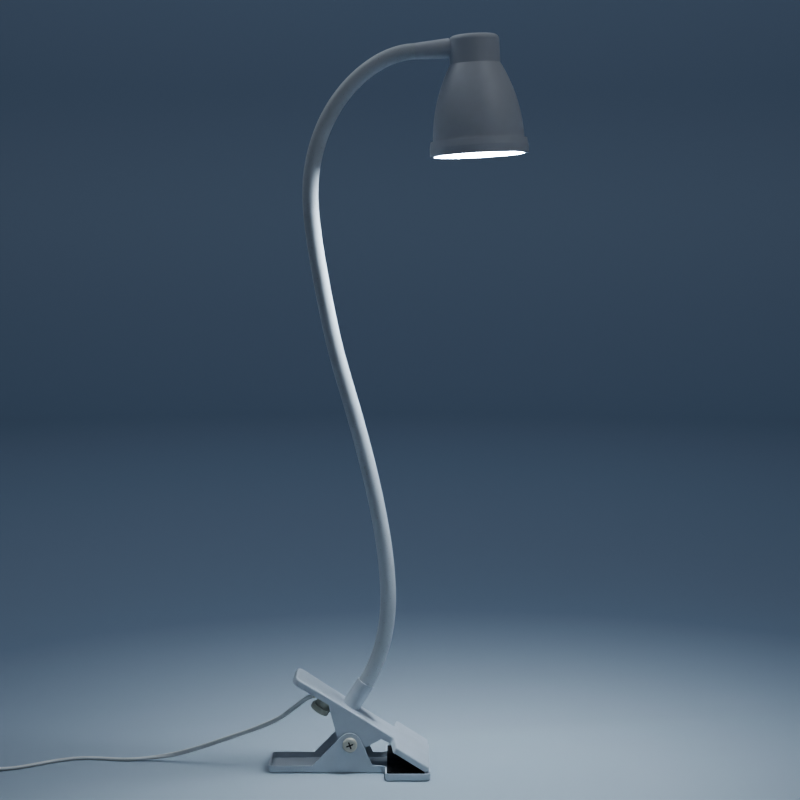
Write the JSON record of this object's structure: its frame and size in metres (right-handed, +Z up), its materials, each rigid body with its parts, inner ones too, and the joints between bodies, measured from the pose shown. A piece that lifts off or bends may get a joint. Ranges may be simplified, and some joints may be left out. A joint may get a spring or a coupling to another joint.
{
  "type": "clip on reading lamp",
  "caption": "White clip lamp: sprung sheet-metal clip, flexible gooseneck and a small bell-shaped LED head, with a thin USB-powered cord and inline switch.",
  "frame": {"origin": "on the surface the clip stands on, under the clip's pivot", "axes": "+Z up, +X towards the tip of the jaws, the pivot screw along Y"},
  "size_m": [0.4535, 0.0708, 0.4563],
  "materials": {
    "white_paint": "satin powder coat",
    "cream_paint": "satin",
    "white_plastic": "satin",
    "cream_plastic": "matte",
    "black_rubber": "matte",
    "zinc_steel": "zinc plated",
    "spring_steel": "oiled",
    "neck_core": "plain",
    "neck_sleeve": "matte silicone",
    "cord_white": "matte",
    "lead_red_pvc": "matte",
    "lead_black_pvc": "matte",
    "lit_diffuser": "frosted, lit from inside",
    "led_board_white": "white solder mask",
    "led_yellow": "phosphor",
    "heat_sink": "satin",
    "switch_plastic": "satin",
    "circuit_board": "solder mask",
    "button_grey": "satin",
    "plug_steel": "bright",
    "plug_insert": "gloss"
  },
  "bodies": {
    "lower_jaw_body": {"lower_jaw": "white_paint", "lower_pad": "black_rubber", "pivot_screw": "cream_paint", "pivot_nut": "zinc_steel", "pivot_sleeve": "zinc_steel", "pivot_washers": "zinc_steel", "torsion_spring": "spring_steel", "cord": "cord_white", "switch_base": "switch_plastic", "switch_cover": "switch_plastic", "switch_board": "circuit_board", "switch_grommets": "cord_white", "cord_tail": "cord_white", "cord_coil": "cord_white", "coil_tie": "black_rubber", "usb_grip": "switch_plastic", "usb_shell": "plug_steel", "usb_insert": "plug_insert"},
    "upper_jaw_body": {"upper_jaw": "white_paint", "upper_pad": "black_rubber", "ferrule": "white_paint", "neck_root": "neck_core", "neck_washer": "zinc_steel", "neck_nut": "zinc_steel", "cord_clamp": "cream_plastic", "cord_clamp_screw": "zinc_steel", "neck_lead": "cord_white"},
    "head_body": {"neck_tip": "neck_core", "head_collar": "white_plastic", "head_stud": "zinc_steel", "head_nut": "zinc_steel", "head_cap": "white_plastic", "cap_screws": "zinc_steel", "head_shell": "white_plastic", "bezel_ring": "white_plastic", "diffuser": "lit_diffuser", "reflector": "white_plastic", "led_board": "led_board_white", "led_chips": "led_yellow", "board_carrier": "heat_sink", "board_screws": "zinc_steel", "lead_red": "lead_red_pvc", "lead_black": "lead_black_pvc"},
    "switch_button_body": {"switch_button": "button_grey"},
    "neck_1": {"neck_link_1": "neck_core"},
    "neck_2": {"neck_link_2": "neck_core"},
    "neck_3": {"neck_link_3": "neck_core"},
    "neck_4": {"neck_link_4": "neck_core"},
    "neck_5": {"neck_link_5": "neck_core"},
    "neck_6": {"neck_link_6": "neck_core"},
    "neck_7": {"neck_link_7": "neck_core"},
    "neck_8": {"neck_link_8": "neck_core"},
    "neck_9": {"neck_link_9": "neck_core"},
    "neck_10": {"neck_link_10": "neck_core"},
    "neck_11": {"neck_link_11": "neck_core"},
    "neck_12": {"neck_link_12": "neck_core"}
  },
  "joints": [
    {"name": "clip_hinge", "type": "hinge", "parent": "lower_jaw_body", "child": "upper_jaw_body", "pos_m": [0, 0, 0.0182], "axis": [0, -1, 0], "range_deg": [0, 40], "stiffness_Nm_per_rad": 1.2, "springref_deg": -34.38, "deforming": ["torsion_spring", "cord"]},
    {"name": "neck_bend_1", "type": "hinge", "parent": "upper_jaw_body", "child": "neck_1", "pos_m": [0.01112, 0, 0.05613], "axis": [0, -1, 0], "range_deg": [-25, 25]},
    {"name": "neck_bend_2", "type": "hinge", "parent": "neck_1", "child": "neck_2", "pos_m": [0.02245, 0, 0.08932], "axis": [-0.9956, 0, 0.0932], "range_deg": [-25, 25]},
    {"name": "neck_bend_3", "type": "hinge", "parent": "neck_2", "child": "neck_3", "pos_m": [0.02317, 0, 0.12468], "axis": [0, 1, 0], "range_deg": [-25, 25]},
    {"name": "neck_bend_4", "type": "hinge", "parent": "neck_3", "child": "neck_4", "pos_m": [0.01834, 0, 0.15971], "axis": [0.9757, 0, 0.219], "range_deg": [-25, 25]},
    {"name": "neck_bend_5", "type": "hinge", "parent": "neck_4", "child": "neck_5", "pos_m": [0.01073, 0, 0.19428], "axis": [0, -1, 0], "range_deg": [-25, 25]},
    {"name": "neck_bend_6", "type": "hinge", "parent": "neck_5", "child": "neck_6", "pos_m": [0.00161, 0, 0.22847], "axis": [-0.9524, 0, -0.3049], "range_deg": [-25, 25]},
    {"name": "neck_bend_7", "type": "hinge", "parent": "neck_6", "child": "neck_7", "pos_m": [-0.00803, 0, 0.26253], "axis": [0, 1, 0], "range_deg": [-25, 25]},
    {"name": "neck_bend_8", "type": "hinge", "parent": "neck_7", "child": "neck_8", "pos_m": [-0.01548, 0, 0.29713], "axis": [0.9834, 0, 0.1814], "range_deg": [-25, 25]},
    {"name": "neck_bend_9", "type": "hinge", "parent": "neck_8", "child": "neck_9", "pos_m": [-0.02135, 0, 0.33204], "axis": [0, -1, 0], "range_deg": [-25, 25]},
    {"name": "neck_bend_10", "type": "hinge", "parent": "neck_9", "child": "neck_10", "pos_m": [-0.02333, 0, 0.36733], "axis": [-0.9992, 0, 0.0393], "range_deg": [-25, 25]},
    {"name": "neck_bend_11", "type": "hinge", "parent": "neck_10", "child": "neck_11", "pos_m": [-0.01476, 0, 0.40142], "axis": [0, 1, 0], "range_deg": [-25, 25]},
    {"name": "neck_bend_12", "type": "hinge", "parent": "neck_11", "child": "neck_12", "pos_m": [0.00579, 0, 0.43003], "axis": [0.7015, 0, -0.7126], "range_deg": [-25, 25]},
    {"name": "neck_bend_13", "type": "hinge", "parent": "neck_12", "child": "head_body", "pos_m": [0.03691, 0, 0.44568], "axis": [0, -1, 0], "range_deg": [-25, 25]},
    {"name": "switch_press", "type": "slide", "parent": "lower_jaw_body", "child": "switch_button_body", "axis": [0, 0, -1], "range_m": [0, 0.0012], "stiffness_N_per_m": 400, "springref_m": -0.0006}
  ]
}
